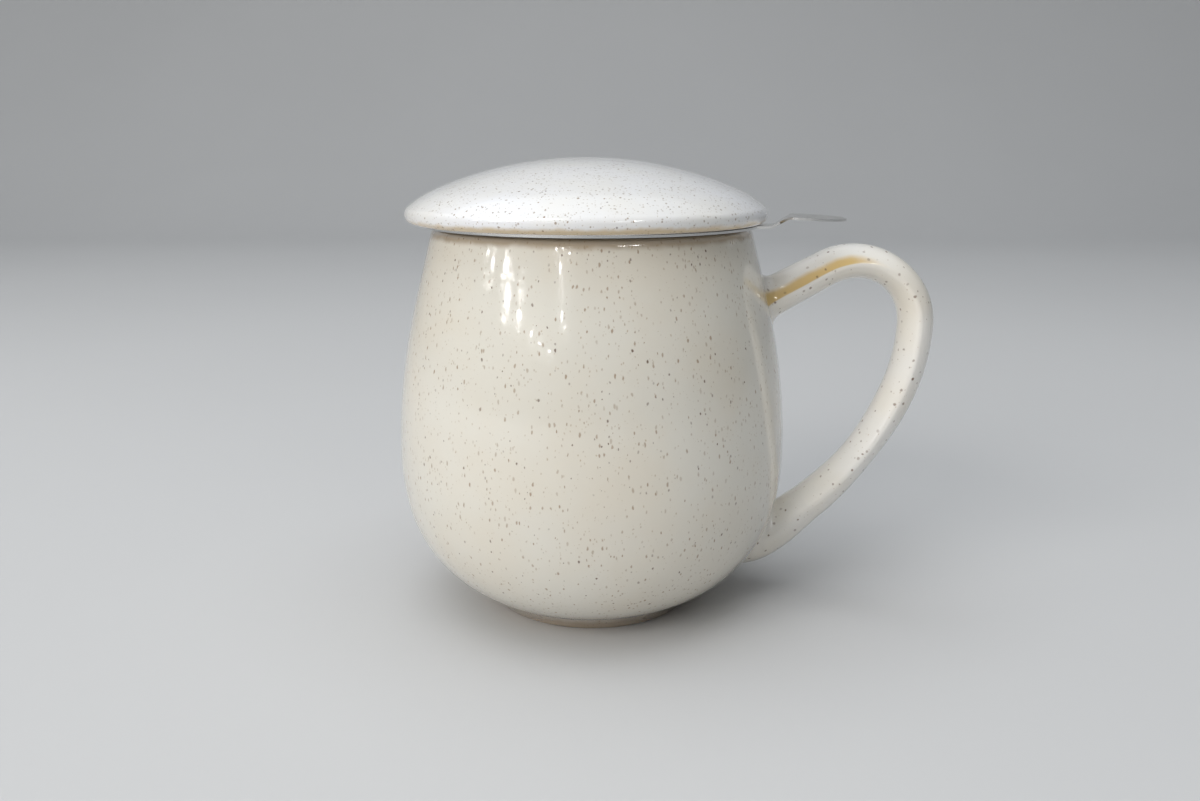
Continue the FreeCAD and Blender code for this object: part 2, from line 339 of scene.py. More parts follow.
def speck_group() -> bpy.types.NodeTree:
    """Scattered specks of one size, as a mask.

    Returns:
        A group with inputs Vector, Scale, Stretch, Radius, Share, Seed and the output Mask.
    """
    wobble_scale, wobble_reach = 900.0, 0.0005
    crowd_scale, crowd_gain, crowd_shift = 130.0, 2.4, -0.2
    size_spread, least_size = 0.75, 0.35
    soft_share = 0.45
    weight_spread, least_weight = 0.6, 0.4
    tree = bpy.data.node_groups.new("glaze_specks", "ShaderNodeTree")
    group_sockets(tree, {"Scale": 400, "Stretch": 1, "Radius": 0.2, "Share": 0.5, "Seed": 0}, ["Mask"])
    n = Nodes(tree)
    start = n.add("NodeGroupInput")
    vector = start.outputs["Vector"]
    wobble = n.add("ShaderNodeTexNoise", {"Vector": vector, "Scale": wobble_scale, "Detail": 2.0})
    middle = {0: wobble.outputs["Color"], 1: (0.5, 0.5, 0.5)}
    centred = n.add("ShaderNodeVectorMath", middle, operation="SUBTRACT")
    shrink = {0: centred.outputs[0], "Scale": wobble_reach}
    small = n.add("ShaderNodeVectorMath", shrink, operation="SCALE")
    place = n.add("ShaderNodeVectorMath", {0: vector, 1: small.outputs[0]}, operation="ADD")
    split = n.add("ShaderNodeSeparateXYZ", {0: place.outputs[0]})
    upright = n.math("DIVIDE", split.outputs[2], start.outputs["Stretch"])
    across = n.math("ADD", split.outputs[0], start.outputs["Seed"])
    joined = n.add("ShaderNodeCombineXYZ", {0: across, 1: split.outputs[1], 2: upright})
    cells = n.add(
        "ShaderNodeTexVoronoi",
        {"Vector": joined.outputs[0], "Scale": start.outputs["Scale"], "Randomness": 1.0},
        voronoi_dimensions="3D",
        feature="F1",
    )
    lot = n.add("ShaderNodeSeparateColor", {0: cells.outputs["Color"]})
    crowd = n.noise(vector, crowd_scale, 1.0)
    crowding = n.math("ADD", n.math("MULTIPLY", crowd, crowd_gain), crowd_shift)
    present = n.math(
        "LESS_THAN", lot.outputs[0], n.math("MULTIPLY", crowding, start.outputs["Share"])
    )
    relative = n.math("ADD", n.math("MULTIPLY", lot.outputs[1], size_spread), least_size)
    size = n.math("MULTIPLY", relative, start.outputs["Radius"])
    depth = n.math("SUBTRACT", size, cells.outputs["Distance"])
    inside = n.math("DIVIDE", depth, n.math("MULTIPLY", size, soft_share))
    soft = n.math("MINIMUM", n.math("MAXIMUM", inside, 0.0), 1.0)
    weight = n.math("ADD", n.math("MULTIPLY", lot.outputs[2], weight_spread), least_weight)
    mask = n.math("MULTIPLY", n.math("MULTIPLY", soft, present), weight)
    n.add("NodeGroupOutput", {"Mask": mask})
    return tree


def ripple_group() -> bpy.types.NodeTree:
    """The slow waves and fine orange peel of a fired glaze, as a height.

    Returns:
        A group with inputs Vector, Wave, Peel and the output Height.
    """
    wave_scale, wave_roughness = 95.0, 0.45
    peel_scale = 620.0
    tree = bpy.data.node_groups.new("glaze_ripple", "ShaderNodeTree")
    group_sockets(tree, {"Wave": 1.0, "Peel": 0.3}, ["Height"])
    n = Nodes(tree)
    start = n.add("NodeGroupInput")
    wave = n.noise(start.outputs["Vector"], wave_scale, roughness=wave_roughness)
    peel = n.noise(start.outputs["Vector"], peel_scale)
    height = n.math(
        "ADD",
        n.math("MULTIPLY", wave, start.outputs["Wave"]),
        n.math("MULTIPLY", peel, start.outputs["Peel"]),
    )
    n.add("NodeGroupOutput", {"Height": height})
    return tree


def brushing_group() -> bpy.types.NodeTree:
    """Fine scratches that run round the axis, as a mask.

    Returns:
        A group with inputs Vector, Lines, Spread and the output Mask.
    """
    detail, roughness = 3.0, 0.6
    tree = bpy.data.node_groups.new("steel_brushing", "ShaderNodeTree")
    group_sockets(tree, {"Lines": 5200.0, "Spread": 40.0}, ["Mask"])
    n = Nodes(tree)
    start = n.add("NodeGroupInput")
    split = n.add("ShaderNodeSeparateXYZ", {0: start.outputs["Vector"]})
    joined = n.add(
        "ShaderNodeCombineXYZ",
        {
            0: n.math("MULTIPLY", split.outputs[0], start.outputs["Spread"]),
            1: n.math("MULTIPLY", split.outputs[1], start.outputs["Spread"]),
            2: n.math("MULTIPLY", split.outputs[2], start.outputs["Lines"]),
        },
    )
    n.add("NodeGroupOutput", {"Mask": n.noise(joined.outputs[0], 1.0, detail, roughness)})
    return tree


class EffectLibrary:
    """The shader groups that the materials share, each built once."""

    def __init__(self) -> None:
        """Build the groups."""
        self.specks = speck_group()
        self.ripple = ripple_group()
        self.brushing = brushing_group()


def new_material(name: str) -> tuple[bpy.types.Material, Nodes, bpy.types.Node]:
    """An empty material.

    Args:
        name: its name.

    Returns:
        The material, its node builder and its Principled shader.
    """
    material = bpy.data.materials.new(name)
    material.use_nodes = True
    material.node_tree.nodes.clear()
    n = Nodes(material.node_tree)
    shader = n.add("ShaderNodeBsdfPrincipled")
    n.add("ShaderNodeOutputMaterial", {"Surface": shader.outputs["BSDF"]})
    return material, n, shader


@dataclass(frozen=True)
class GlazeTexture:
    """What the glazes share. A scale is that of its noise, and a span is a pair of low and high."""

    cloud_scale: float = 38.0
    cloud_detail: float = 3.0
    cloud_roughness: float = 0.55
    cloud_span: Span = (0.35, 0.7)
    ragged_scale: float = 260.0
    ragged_reach: float = 1.6
    # How strongly the painted shade and reflection band under the lid takes the thin colour.
    top_shade_strength: float = 0.85
    ridge_scale: float = 140.0
    ridge_detail: float = 3.0
    ridge_reach: float = 0.5
    ridge_span: Span = (0.35, 0.95)
    seed_step: float = 0.37
    speck_dent: float = 0.05
    speck_roughness: float = 0.12
    bump_strength: float = 0.35
    bump_reach: float = 0.35
    gloss_scale: float = 90.0
    gloss_span: Span = (0.3, 0.8)
    roughness: Span = (0.10, 0.17)
    coat: float = 0.6
    coat_roughness: float = 0.03
    specular: float = 0.55


@dataclass(frozen=True)
class GlazeFinish:
    """A glossy speckled stoneware glaze.

    Args:
        name: the material's name.
        base: the glaze's colour.
        warm: the colour of its warmer clouds.
        thin_and_shade: the toasted colour where the glaze is thin, and the colour of the painted shade
            band under the lid.
        thin_low: below this height, in millimetres, the glaze is thin.
        thin_high: above this height it is thick again.
        top_shade_low: below this height, in millimetres, the glaze keeps its colour; above it begins a
            band of painted shade and reflection under the lid, laid in the thin colour.
        top_shade_high: above this height that painted shade is full, up to the lip.
        layers: its specks.
        ridge: the colour where it breaks on a ridge, read from the mesh's own attribute, or None.
        wave: how strongly the surface waves.
        texture: what it shares with the other glazes.
    """

    name: str
    base: Colour
    warm: Colour
    thin_and_shade: Colour
    thin_low: float
    thin_high: float
    layers: tuple[SpeckLayer, ...]
    top_shade_low: float = 200.0
    top_shade_high: float = 210.0
    ridge: Colour | None = None
    wave: float = 1.0
    texture: GlazeTexture = GlazeTexture()

    def build(self, effects: EffectLibrary) -> bpy.types.Material:
        """Make the material.

        Args:
            effects: the shared groups.

        Returns:
            The material.
        """
        look = self.texture
        material, n, shader = new_material(self.name)
        place = n.add("ShaderNodeTexCoord").outputs["Object"]
        height = n.math("MULTIPLY", n.add("ShaderNodeSeparateXYZ", {0: place}).outputs[2], 1 / MM)
        cloudy = n.noise(place, look.cloud_scale, look.cloud_detail, look.cloud_roughness)
        colour = n.mix(n.ramp(cloudy, *look.cloud_span), self.base, self.warm)
        ragged = n.math(
            "ADD", height, n.around(n.noise(place, look.ragged_scale), look.ragged_reach)
        )
        foot = n.ramp(ragged, self.thin_low, self.thin_high, 1.0, 0.0)
        # The band near the top is painted shade and reflection of the lid's underside, laid in the thin
        # colour; the foot band is thin glaze.
        lip = n.ramp(ragged, self.top_shade_low, self.top_shade_high, 0.0, look.top_shade_strength)
        colour = n.mix(n.math("MAXIMUM", foot, lip), colour, self.thin_and_shade)
        if self.ridge is not None:
            band = n.add("ShaderNodeAttribute", attribute_name="ridge").outputs["Fac"]
            uneven = n.around(n.noise(place, look.ridge_scale, look.ridge_detail), look.ridge_reach)
            broken = n.math("ADD", band, uneven)
            colour = n.mix(n.ramp(broken, *look.ridge_span), colour, self.ridge)
        dimples: object = 0.0
        for number, layer in enumerate(self.layers, 1):
            inputs = {
                "Vector": place,
                "Scale": 1 / (layer.cell * MM),
                "Stretch": layer.stretch,
                "Radius": layer.radius,
                "Share": layer.share,
                "Seed": look.seed_step * number,
            }
            specks = n.add("ShaderNodeGroup", inputs, node_tree=effects.specks)
            mask = n.math("MULTIPLY", specks.outputs["Mask"], layer.strength)
            colour = n.mix(mask, colour, layer.colour)
            dimples = n.math("MAXIMUM", mask, dimples)
        waves = {"Vector": place, "Wave": self.wave}
        ripple = n.add("ShaderNodeGroup", waves, node_tree=effects.ripple)
        dents = n.math("MULTIPLY", dimples, look.speck_dent)
        surface = n.math("SUBTRACT", ripple.outputs["Height"], dents)
        bump = n.add(
            "ShaderNodeBump",
            {"Height": surface, "Strength": look.bump_strength, "Distance": look.bump_reach * MM},
        )
        gloss = n.ramp(n.noise(place, look.gloss_scale), *look.gloss_span, *look.roughness)
        rough = n.math("ADD", gloss, n.math("MULTIPLY", dimples, look.speck_roughness))
        n.tree.links.new(colour, shader.inputs["Base Color"])
        n.tree.links.new(rough, shader.inputs["Roughness"])
        n.tree.links.new(bump.outputs["Normal"], shader.inputs["Normal"])
        shader.inputs["Coat Weight"].default_value = look.coat
        shader.inputs["Coat Roughness"].default_value = look.coat_roughness
        shader.inputs["Specular IOR Level"].default_value = look.specular
        return material


@dataclass(frozen=True)
class SteelFinish:
    """Stainless steel, brushed or polished.

    Args:
        name: the material's name.
        colour: its colour.
        rough_low: roughness where it is smoothest.
        rough_high: roughness where it is most brushed.
        bump: the depth of the brushing in millimetres.
        dark_share: how bright its smears are beside the rest.
        smear_scale: the scale of the smears' noise.
        smear_detail: its detail.
        smear_roughness: its roughness.
        smear_weight: how much a smear roughens.
        brushed_span: where the mask starts and ends to roughen.
        bump_strength: how strongly the brushing shows.
    """

    name: str
    colour: Colour
    rough_low: float
    rough_high: float
    bump: float
    dark_share: float = 0.82
    smear_scale: float = 120.0
    smear_detail: float = 3.0
    smear_roughness: float = 0.6
    smear_weight: float = 0.4
    brushed_span: Span = (0.3, 0.95)
    bump_strength: float = 0.4

    def build(self, effects: EffectLibrary) -> bpy.types.Material:
        """Make the material.

        Args:
            effects: the shared groups.

        Returns:
            The material.
        """
        material, n, shader = new_material(self.name)
        place = n.add("ShaderNodeTexCoord").outputs["Object"]
        brushing = n.add("ShaderNodeGroup", {"Vector": place}, node_tree=effects.brushing)
        mask = brushing.outputs["Mask"]
        smears = n.noise(place, self.smear_scale, self.smear_detail, self.smear_roughness)
        dark = tuple(c * self.dark_share for c in self.colour[:3]) + (1.0,)
        colour = n.mix(n.math("MULTIPLY", mask, smears), self.colour, dark)
        worn = n.math("ADD", mask, n.math("MULTIPLY", smears, self.smear_weight))
        rough = n.ramp(worn, *self.brushed_span, self.rough_low, self.rough_high)
        bump = n.add(
            "ShaderNodeBump",
            {"Height": mask, "Strength": self.bump_strength, "Distance": self.bump * MM},
        )
        n.tree.links.new(colour, shader.inputs["Base Color"])
        n.tree.links.new(rough, shader.inputs["Roughness"])
        n.tree.links.new(bump.outputs["Normal"], shader.inputs["Normal"])
        shader.inputs["Metallic"].default_value = 1.0
        return material


VESSEL_GLAZE = GlazeFinish(
    name="vessel_glaze",
    base=(0.70, 0.67, 0.595, 1),
    warm=(0.69, 0.64, 0.545, 1),
    thin_and_shade=(0.40, 0.31, 0.21, 1),
    thin_low=2.0,
    thin_high=4.6,
    # A band of painted shade and reflection under the lid's overhang, darkening up to the lip in the
    # thin colour.
    top_shade_low=85.9,
    top_shade_high=87.4,
    layers=(
        SpeckLayer(0.74, 0.25, 1.6, 0.75, 0.58, (0.38, 0.27, 0.15, 1)),
        SpeckLayer(0.98, 0.29, 2.2, 0.85, 0.74, (0.27, 0.165, 0.08, 1)),
        SpeckLayer(1.50, 0.19, 1.5, 0.55, 0.90, (0.11, 0.055, 0.028, 1)),
    ),
)
# The lid's own white glaze, with its base made lighter than the vessel glaze partly as painted top
# light.
LID_GLAZE = GlazeFinish(
    name="lid_glaze",
    base=(0.80, 0.80, 0.815, 1),
    warm=(0.78, 0.765, 0.73, 1),
    thin_and_shade=(0.64, 0.51, 0.34, 1),
    thin_low=89.9,
    thin_high=91.0,
    layers=(
        SpeckLayer(0.66, 0.27, 1.0, 0.90, 0.72, (0.32, 0.22, 0.12, 1)),
        SpeckLayer(0.86, 0.32, 1.0, 0.95, 0.86, (0.22, 0.14, 0.07, 1)),
        SpeckLayer(1.50, 0.17, 1.0, 0.60, 0.90, (0.10, 0.05, 0.027, 1)),
    ),
)
HANDLE_GLAZE = GlazeFinish(
    name="ear_glaze",
    base=(0.84, 0.815, 0.77, 1),
    warm=(0.82, 0.77, 0.68, 1),
    thin_and_shade=(0.52, 0.43, 0.30, 1),
    thin_low=5.0,
    thin_high=8.5,
    layers=(
        SpeckLayer(1.10, 0.20, 1.0, 0.50, 0.45, (0.40, 0.28, 0.16, 1)),
        SpeckLayer(1.80, 0.24, 1.0, 0.90, 0.92, (0.16, 0.075, 0.03, 1)),
    ),
    ridge=(0.68, 0.48, 0.19, 1),
)
POLISHED = SteelFinish("polished_steel", (0.80, 0.79, 0.77, 1), 0.10, 0.24, 0.004)
BRUSHED = SteelFinish("brushed_steel", (0.70, 0.69, 0.67, 1), 0.22, 0.40, 0.01)


@dataclass
class Vessel:
    """The thrown mug body, in millimetres."""

    height: float = 88.4
    wall: float = 3.8
    foot: float = 23.5
    foot_top: float = 27.05
    foot_height: float = 3.7
    ring_width: float = 3.4
    recess: float = 2.6
    floor: float = 4.4
    floor_corner: float = 9.0
    start_heading: float = 26.05
    lower_arc: float = 31.04
    lower_heading: float = 77.65
    belly_arc: float = 54.47
    shoulder_arc: float = 135.55
    shoulder_heading: float = 104.43
    foot_round: float = 0.8
    foot_inset: float = 0.35
    ring_chamfer: float = 0.5
    recess_inset: float = 0.6
    recess_heading: float = -60.0
    neck_pieces: int = 6
    flat_pieces: int = 5
    segments: int = 192
    side: Profile = field(init=False)
    neck: float = field(init=False)

    def __post_init__(self) -> None:
        """Draw the outside from the foot to the mouth."""
        self.side = self.draw_side(Profile((self.foot_top, self.foot_height)))

    @property
    def lip(self) -> float:
        """The lip's radius."""
        return self.wall / 2

    def draw_side(self, profile: Profile) -> Profile:
        """Add the outside, from the top of the foot to the mouth, and note the neck's length.

        Args:
            profile: what it is added to.

        Returns:
            The same profile.
        """
        profile.line_to((self.foot_top, self.foot_height)).turn_to(self.start_heading)
        profile.arc(self.lower_arc, self.lower_heading)
        profile.arc(self.belly_arc, 90.0)
        profile.arc(self.shoulder_arc, self.shoulder_heading)
        lean = math.radians(self.shoulder_heading - 90)
        top = self.height - self.lip + self.lip * math.sin(lean)
        self.neck = (top - profile.end[1]) / math.cos(lean)
        return profile.straight(self.neck, self.neck_pieces)

    def radius_at(self, height: float) -> float:
        """The outside's radius at a height."""
        points = np.array(self.side.points)
        return float(np.interp(height, points[:, 1], points[:, 0]))

    def lean_at(self, height: float) -> float:
        """How far the outside's normal tilts up, in radians, at a height."""
        rise = 0.2
        return math.atan2(self.radius_at(height - rise) - self.radius_at(height + rise), 2 * rise)

    @property
    def mouth_centre(self) -> np.ndarray:
        """The centre of the lip's round, as radius and height."""
        return self.side.end + heading_vector(self.shoulder_heading + 90) * self.lip

    def build(self) -> bpy.types.Object:
        """Turn the vessel.

        Returns:
            The piece that stands for mug_body.
        """
        floor = self.recess + self.floor
        ring_inner = self.foot - self.ring_width
        start = np.array([self.foot_top, self.foot_height])
        centre = start + heading_vector(self.start_heading + 90) * self.lower_arc
        inner = self.lower_arc - self.wall
        corner_z = floor + self.floor_corner - centre[1]
        corner_r = math.sqrt((inner - self.floor_corner) ** 2 - corner_z**2)
        flare = math.degrees(math.atan2(self.foot_height, self.foot_top - self.foot))
        profile = Profile((ring_inner + self.ring_chamfer, 0.0))
        profile.line_to((self.foot - self.foot_inset, 0.0)).turn_to(0.0)
        profile.arc(self.foot_round, flare)
        self.draw_side(profile)
        profile.arc(self.lip, self.shoulder_heading + 180).straight(self.neck, self.neck_pieces)
        profile.arc(self.shoulder_arc - self.wall, 270)
        profile.arc(self.belly_arc - self.wall, 180 + self.lower_heading)
        profile.arc(inner, 270 + math.degrees(math.atan2(corner_z, corner_r)))
        profile.arc(self.floor_corner, 180)
        profile.line_to((0.0, floor), self.flat_pieces)
        profile.line_to((0.0, self.recess))
        recess_radius = ring_inner - self.recess / 2 - self.recess_inset
        profile.line_to((recess_radius, self.recess), self.flat_pieces)
        profile.turn_to(0.0).arc(self.foot_round, self.recess_heading)
        profile.line_to((ring_inner, self.ring_chamfer))
        return lathe("glazed_vessel", profile.points, self.segments)


@dataclass
class Station:
    """A place on the handle's centre line."""

    point: np.ndarray
    heading: float
    thickness: float
    width: float


@dataclass
class Handle:
    """The pulled ear, swept along straights and arcs, in millimetres.

    A section is a thickness and a width, and the numbers of the ridge and its fade are degrees
    from the side and shares of the ear's length.
    """

    root_height: float = 71.55
    heading: float = 28.4
    rise: float = 15.1
    crest: float = 14.7
    crest_turn: float = 118.7
    back: float = 44.0
    back_turn: float = 21.6
    lower: float = 68.6
    lower_turn: float = 28.6
    come_back: float = 8.6
    heel: float = 13.0
    heel_turn: float = 48.0
    buried: float = 9.0
    ridge_radius: float = 1.3
    crown_share: float = 0.54
    fillet: float = 2.6
    fillet_heel: float = 0.12
    root_depth: float = 3.0
    root_section: Span = (9.4, 12.6)
    neck_section: Span = (8.3, 11.6)
    crest_section: Span = (7.5, 11.6)
    back_section: Span = (8.0, 11.6)
    low_section: Span = (7.5, 11.6)
    tail_section: Span = (8.8, 11.6)
    return_section: Span = (10.3, 12.6)
    heel_section: Span = (14.2, 15.0)
    straight_step: float = 0.3
    bend_step: float = 0.6
    bend_step_share: float = 0.025
    ridge_tilt: float = 24.0
    ridge_spread: float = 20.0
    ridge_fade: float = 0.72
    fade_start: float = 0.21
    fade_length: float = 0.13
    near_axis: float = 1.0
    around: int = 64

    def stations(self, vessel: Vessel) -> list[Station]:
        """The centre line from inside the upper root to inside the lower one.

        Args:
            vessel: the body that the ear is luted to.

        Returns:
            Closely spaced stations.
        """
        root = np.array([vessel.radius_at(self.root_height), self.root_height])
        start = root - heading_vector(self.heading) * self.root_depth
        line = [Station(start, self.heading, *self.root_section)]

        def add(first: Station, point: np.ndarray, heading: float, section: Span, share: float) -> None:
            """Add a station whose section lies between the first station's and a new one.

            Args:
                first: the station that the stretch starts from.
                point: the new station's place.
                heading: its direction, in degrees.
                section: the thickness and width at the end of the stretch.
                share: how much of the change is done, from 0 to 1.
            """
            thickness = first.thickness + (section[0] - first.thickness) * share
            width = first.width + (section[1] - first.width) * share
            line.append(Station(point, heading, thickness, width))

        def straight(length: float, section: Span) -> None:
            """Add a straight stretch that eases to a new section.

            Args:
                length: how far it goes.
                section: its thickness and width at the end.
            """
            first = line[-1]
            count = max(int(length / self.straight_step), 2)
            for i in range(1, count + 1):
                share = i / count
                point = first.point + heading_vector(first.heading) * length * share
                add(first, point, first.heading, section, share)

        def bend(radius: float, turn: float, section: Span) -> None:
            """Add an arc that turns down and eases to a new section.

            Args:
                radius: the arc's radius.
                turn: how far it turns, in degrees.
                section: its thickness and width at the end.
            """
            first = line[-1]
            centre = first.point - heading_vector(first.heading + 90) * radius
            step = min(self.bend_step, radius * self.bend_step_share)
            count = max(int(math.radians(turn) * radius / step), 4)
            for i in range(1, count + 1):
                heading = first.heading - turn * i / count
                point = centre + heading_vector(heading + 90) * radius
                add(first, point, heading, section, smoothstep(i / count))

        straight(self.root_depth + self.rise, self.neck_section)
        bend(self.crest, self.crest_turn / 2, self.crest_section)
        bend(self.crest, self.crest_turn / 2, self.back_section)
        bend(self.back, self.back_turn, self.back_section)
        bend(self.lower, self.lower_turn / 2, self.low_section)
        bend(self.lower, self.lower_turn / 2, self.tail_section)
        straight(self.come_back, self.return_section)
        bend(self.heel, self.heel_turn, self.heel_section)
        straight(self.buried, self.heel_section)
        return line

    def section(self, station: Station) -> tuple[np.ndarray, np.ndarray]:
        """The outline across the ear, as places across and along the normal.

        Args:
            station: where on the centre line.

        Returns:
            The points and how near each is to the side ridge, from 0 to 1.
        """
        half = station.width / 2
        reach = half - self.ridge_radius
        outer = station.thickness * self.crown_share
        inner = station.thickness - outer
        shift = (outer - inner) / 2
        points, ridge = [], []
        for i in range(self.around):
            angle = 2 * math.pi * (i + 0.5) / self.around
            height = outer if math.sin(angle) >= 0 else inner
            bulge = reach**2 + height**2 - self.ridge_radius**2
            crown = bulge / (2 * (height - self.ridge_radius))
            centre = height - crown
            limit = math.atan2(-centre, reach)
            across, along = abs(math.cos(angle)), abs(math.sin(angle))
            tilt = math.atan2(along, across)
            if tilt < limit:
                y = reach + self.ridge_radius * math.cos(tilt)
                z = self.ridge_radius * math.sin(tilt)
            else:
                y = crown * math.cos(tilt)
                z = centre + crown * math.sin(tilt)
            sign_y = 1 if math.cos(angle) >= 0 else -1
            sign_z = 1 if math.sin(angle) >= 0 else -1
            points.append((sign_y * y, sign_z * z - shift))
            off_ridge = (sign_z * math.degrees(tilt) - self.ridge_tilt) / self.ridge_spread
            ridge.append(math.exp(-(off_ridge**2)))
        return np.array(points), np.array(ridge)

    def build(self, vessel: Vessel) -> bpy.types.Object:
        """Sweep the ear and spread its roots on to the vessel with a hollow fillet.

        Args:
            vessel: the body that the ear is luted to.

        Returns:
            The piece that stands for handle.
        """
        line = self.stations(vessel)
        verts, marks = [], []
        for ring, station in enumerate(line):
            outline, ridge = self.section(station)
            share = ring / len(line)
            faded = smoothstep((share - self.fade_start) / self.fade_length)
            ridge = ridge * (1 - self.ridge_fade * faded)
            normal = heading_vector(station.heading + 90)
            for (y, n), mark in zip(outline, ridge):
                place = station.point + normal * n
                point = np.array([place[0], y, place[1]])
                away = np.array([normal[0] * n, y, normal[1] * n])
                verts.append(self.spread(point, away, vessel))
                marks.append(mark)
        count = self.around
        faces = []
        for ring in range(len(line) - 1):
            for i in range(count):
                j = (i + 1) % count
                a, b = ring * count, (ring + 1) * count
                faces.append([a + i, a + j, b + j, b + i])
        faces.append(list(range(count)))
        faces.append(list(range((len(line) - 1) * count, len(line) * count)))
        obj = finish_mesh("glazed_ear", np.array(verts), faces)
        band = obj.data.attributes.new("ridge", "FLOAT", "POINT")
        band.data.foreach_set("value", np.array(marks, np.float32))
        return obj

    def spread(self, point: np.ndarray, away: np.ndarray, vessel: Vessel) -> np.ndarray:
        """Move a point of the ear out along the vessel's surface, as a fillet would.

        Args:
            point: the point on the plain sweep.
            away: the direction from the centre line.
            vessel: the body.

        Returns:
            The moved point.
        """
        radius = math.hypot(point[0], point[1])
        lean = vessel.lean_at(point[2])
        clear = (radius - vessel.radius_at(point[2])) * math.cos(lean)
        if clear >= self.fillet or radius < self.near_axis:
            return point
        depth = min(max(clear, 0.0) + self.fillet_heel, self.fillet)
        reach = self.fillet - math.sqrt(self.fillet**2 - (self.fillet - depth) ** 2)
        out = np.array([point[0] / radius, point[1] / radius, 0]) * math.cos(lean)
        out[2] = math.sin(lean)
        along = away - out * float(away @ out)
        size = float(np.linalg.norm(along))
        return point + along / size * reach if size > TINY else point


@dataclass
class Lid:
    """The loose domed lid, in millimetres."""

    overhang: float = 3.1
    seat_margin: float = 0.25
    edge: float = 2.02
    edge_start: float = 12.2
    edge_end: float = 140.24
    shoulder: float = 25.25
    shoulder_end: float = 157.19
    wall: float = 4.0
    fillet: float = 2.5
    depth: float = 5.0
    width: float = 3.0
    clearance: float = 1.8
    ring_round: float = 0.9
    edge_break: float = 0.3
    off_centre: float = -1.24
    dome_step: float = 1.0
    fillet_step: float = 6.0
    segments: int = 192

    def build(self, infuser: "Infuser") -> bpy.types.Object:
        """Turn the lid and set it a little off centre, as it lies.

        Args:
            infuser: what it rests on.

        Returns:
            The piece that stands for lid.
        """
        seat_z = infuser.flange_top
        outer = infuser.collar_inner - self.clearance
        inner = outer - self.width
        limit = infuser.flange_radius + self.overhang
        start_r = limit - self.edge + self.edge * math.sin(math.radians(self.edge_start))
        seat_end = infuser.flange_radius + self.seat_margin
        rise = (start_r - seat_end) * math.tan(math.radians(self.edge_start))
        profile = Profile((outer + self.edge_break, seat_z)).line_to((seat_end, seat_z), 3)
        profile.line_to((start_r, seat_z + rise)).turn_to(self.edge_start)
        profile.arc(self.edge, self.edge_end).arc(self.shoulder, self.shoulder_end)
        slope = math.radians(180 - self.shoulder_end)
        dome = profile.end[0] / math.sin(slope)
        top = profile.end[1] - dome * math.cos(slope) + dome
        profile.step = self.dome_step
        profile.arc(dome, 180)
        profile.points[-1][0] = 0.0
        hollow = dome - self.wall
        profile.line_to((0.0, top - self.wall)).turn_to(0.0)
        fillet_r = inner - self.fillet
        fillet_z = math.sqrt((hollow - self.fillet) ** 2 - fillet_r**2)
        profile.arc(hollow, math.degrees(math.atan2(fillet_z, fillet_r)) - 90)
        profile.step = self.fillet_step
        profile.arc(self.fillet, -90)
        bottom = seat_z - self.depth
        profile.line_to((inner, bottom + self.ring_round), 3).arc(self.ring_round, 0)
        profile.line_to((outer - self.ring_round, bottom)).arc(self.ring_round, 90)
        profile.line_to((outer, seat_z - self.edge_break), 2)
        obj = lathe("domed_lid", profile.points, self.segments)
        for vertex in obj.data.vertices:
            vertex.co.x += self.off_centre * MM
        return obj


